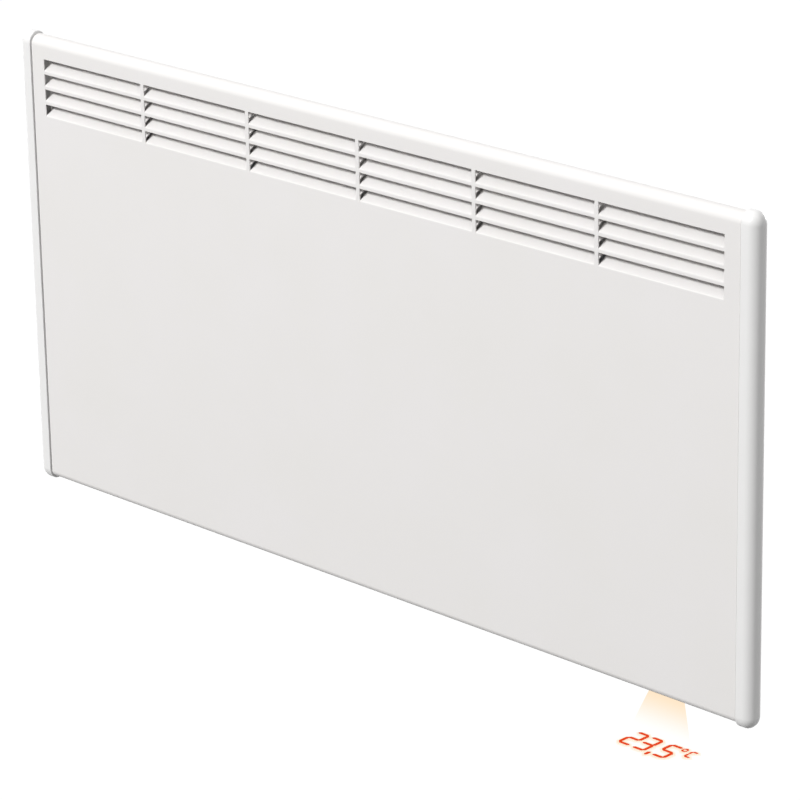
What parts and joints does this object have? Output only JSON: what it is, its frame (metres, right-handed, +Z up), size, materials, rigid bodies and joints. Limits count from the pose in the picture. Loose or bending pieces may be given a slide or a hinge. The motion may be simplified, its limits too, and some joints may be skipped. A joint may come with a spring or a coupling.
{
  "type": "wall panel convector heater",
  "caption": "Slim white panel convector for a wall, with a louvred warm-air outlet, finned heating element, control module under its edge and hook-on wall bracket.",
  "frame": {"origin": "middle of the wall bracket's back face, in the plane of the wall", "axes": "+X to the right of someone who faces the heater, +Y into the wall, +Z up; the front looks along -Y"},
  "size_m": [0.8062, 0.0819, 0.3992],
  "materials": {
    "enamel": "white baked enamel, satin",
    "pan_enamel": "white baked enamel, fine texture",
    "cap_plastic": "moulded, satin",
    "grey_plastic": "moulded, fine texture",
    "button_plastic": "moulded, satin",
    "black_plastic": "moulded, satin",
    "rocker_plastic": "polished",
    "relay_plastic": "moulded",
    "block_plastic": "moulded",
    "clear_plastic": "clear",
    "circuit_board": "lacquered board",
    "transformer_core": "laminated core with varnished winding",
    "zinc_steel": "zinc plated",
    "sheath_steel": "heat tinted",
    "aluminium": "extruded",
    "brass": "bare",
    "ceramic": "unglazed",
    "rubber": "matt",
    "wire_brown": "insulation",
    "wire_blue": "insulation",
    "wire_earth": "insulation, green and yellow",
    "wire_grey": "insulation"
  },
  "bodies": {
    "wall_bracket": {"bracket_upright_left": "zinc_steel", "bracket_upright_right": "zinc_steel", "bracket_rail": "zinc_steel", "rail_rivet_left_upper": "zinc_steel", "rail_rivet_left_lower": "zinc_steel", "rail_rivet_right_upper": "zinc_steel", "rail_rivet_right_lower": "zinc_steel", "rubber_buffer_left": "rubber", "rubber_buffer_right": "rubber"},
    "heater": {"front_cover": "enamel", "end_cap_left": "cap_plastic", "end_cap_right": "cap_plastic", "rear_pan": "pan_enamel", "pan_floor": "pan_enamel", "heat_shield": "zinc_steel", "element_fins": "aluminium", "element_tube": "sheath_steel", "element_bracket_left": "zinc_steel", "element_bracket_right": "zinc_steel", "ceramic_bush_left": "ceramic", "ceramic_bush_right": "ceramic", "element_terminal_left": "brass", "element_terminal_right": "brass", "thermal_cutout": "black_plastic", "earth_screw": "brass", "control_housing": "grey_plastic", "control_lid": "grey_plastic", "projection_window": "clear_plastic", "digit_display": "black_plastic", "control_board": "circuit_board", "power_board": "circuit_board", "relay": "relay_plastic", "transformer": "transformer_core", "terminal_block": "block_plastic", "power_switch": "black_plastic", "module_screw_left": "zinc_steel", "module_screw_right": "zinc_steel", "sensor_clip": "grey_plastic", "room_sensor": "black_plastic", "cable_gland": "black_plastic", "gland_nut": "black_plastic", "wire_cutout_feed": "wire_brown", "wire_cutout_return": "wire_brown", "wire_far_end": "wire_blue", "wire_earth": "wire_earth", "wire_sensor": "wire_grey", "case_screw_top_1": "zinc_steel", "case_screw_top_2": "zinc_steel", "case_screw_top_3": "zinc_steel", "case_screw_top_4": "zinc_steel", "case_screw_top_5": "zinc_steel", "case_screw_bottom_1": "zinc_steel", "case_screw_bottom_2": "zinc_steel", "case_screw_bottom_3": "zinc_steel", "case_screw_bottom_4": "zinc_steel", "case_screw_bottom_5": "zinc_steel"},
    "button_down": {"button_down": "button_plastic"},
    "button_up": {"button_up": "button_plastic"},
    "button_mode": {"button_mode": "button_plastic"},
    "power_rocker": {"power_rocker": "rocker_plastic"}
  },
  "joints": [
    {"name": "heater_tilt", "type": "hinge", "parent": "wall_bracket", "child": "heater", "pos_m": [0, -0.02, 0.12015], "axis": [-1, 0, 0], "range_deg": [0, 20]},
    {"name": "button_down_press", "type": "slide", "parent": "heater", "child": "button_down", "axis": [0, 0, 1], "range_m": [0, 0.001], "stiffness_N_per_m": 600, "springref_m": -0.001},
    {"name": "button_up_press", "type": "slide", "parent": "heater", "child": "button_up", "axis": [0, 0, 1], "range_m": [0, 0.001], "stiffness_N_per_m": 600, "springref_m": -0.001},
    {"name": "button_mode_press", "type": "slide", "parent": "heater", "child": "button_mode", "axis": [0, 0, 1], "range_m": [0, 0.001], "stiffness_N_per_m": 600, "springref_m": -0.001},
    {"name": "rocker_tip", "type": "hinge", "parent": "heater", "child": "power_rocker", "pos_m": [0.30903, -0.034, -0.18445], "axis": [0, -1, 0], "range_deg": [0, 18]}
  ]
}
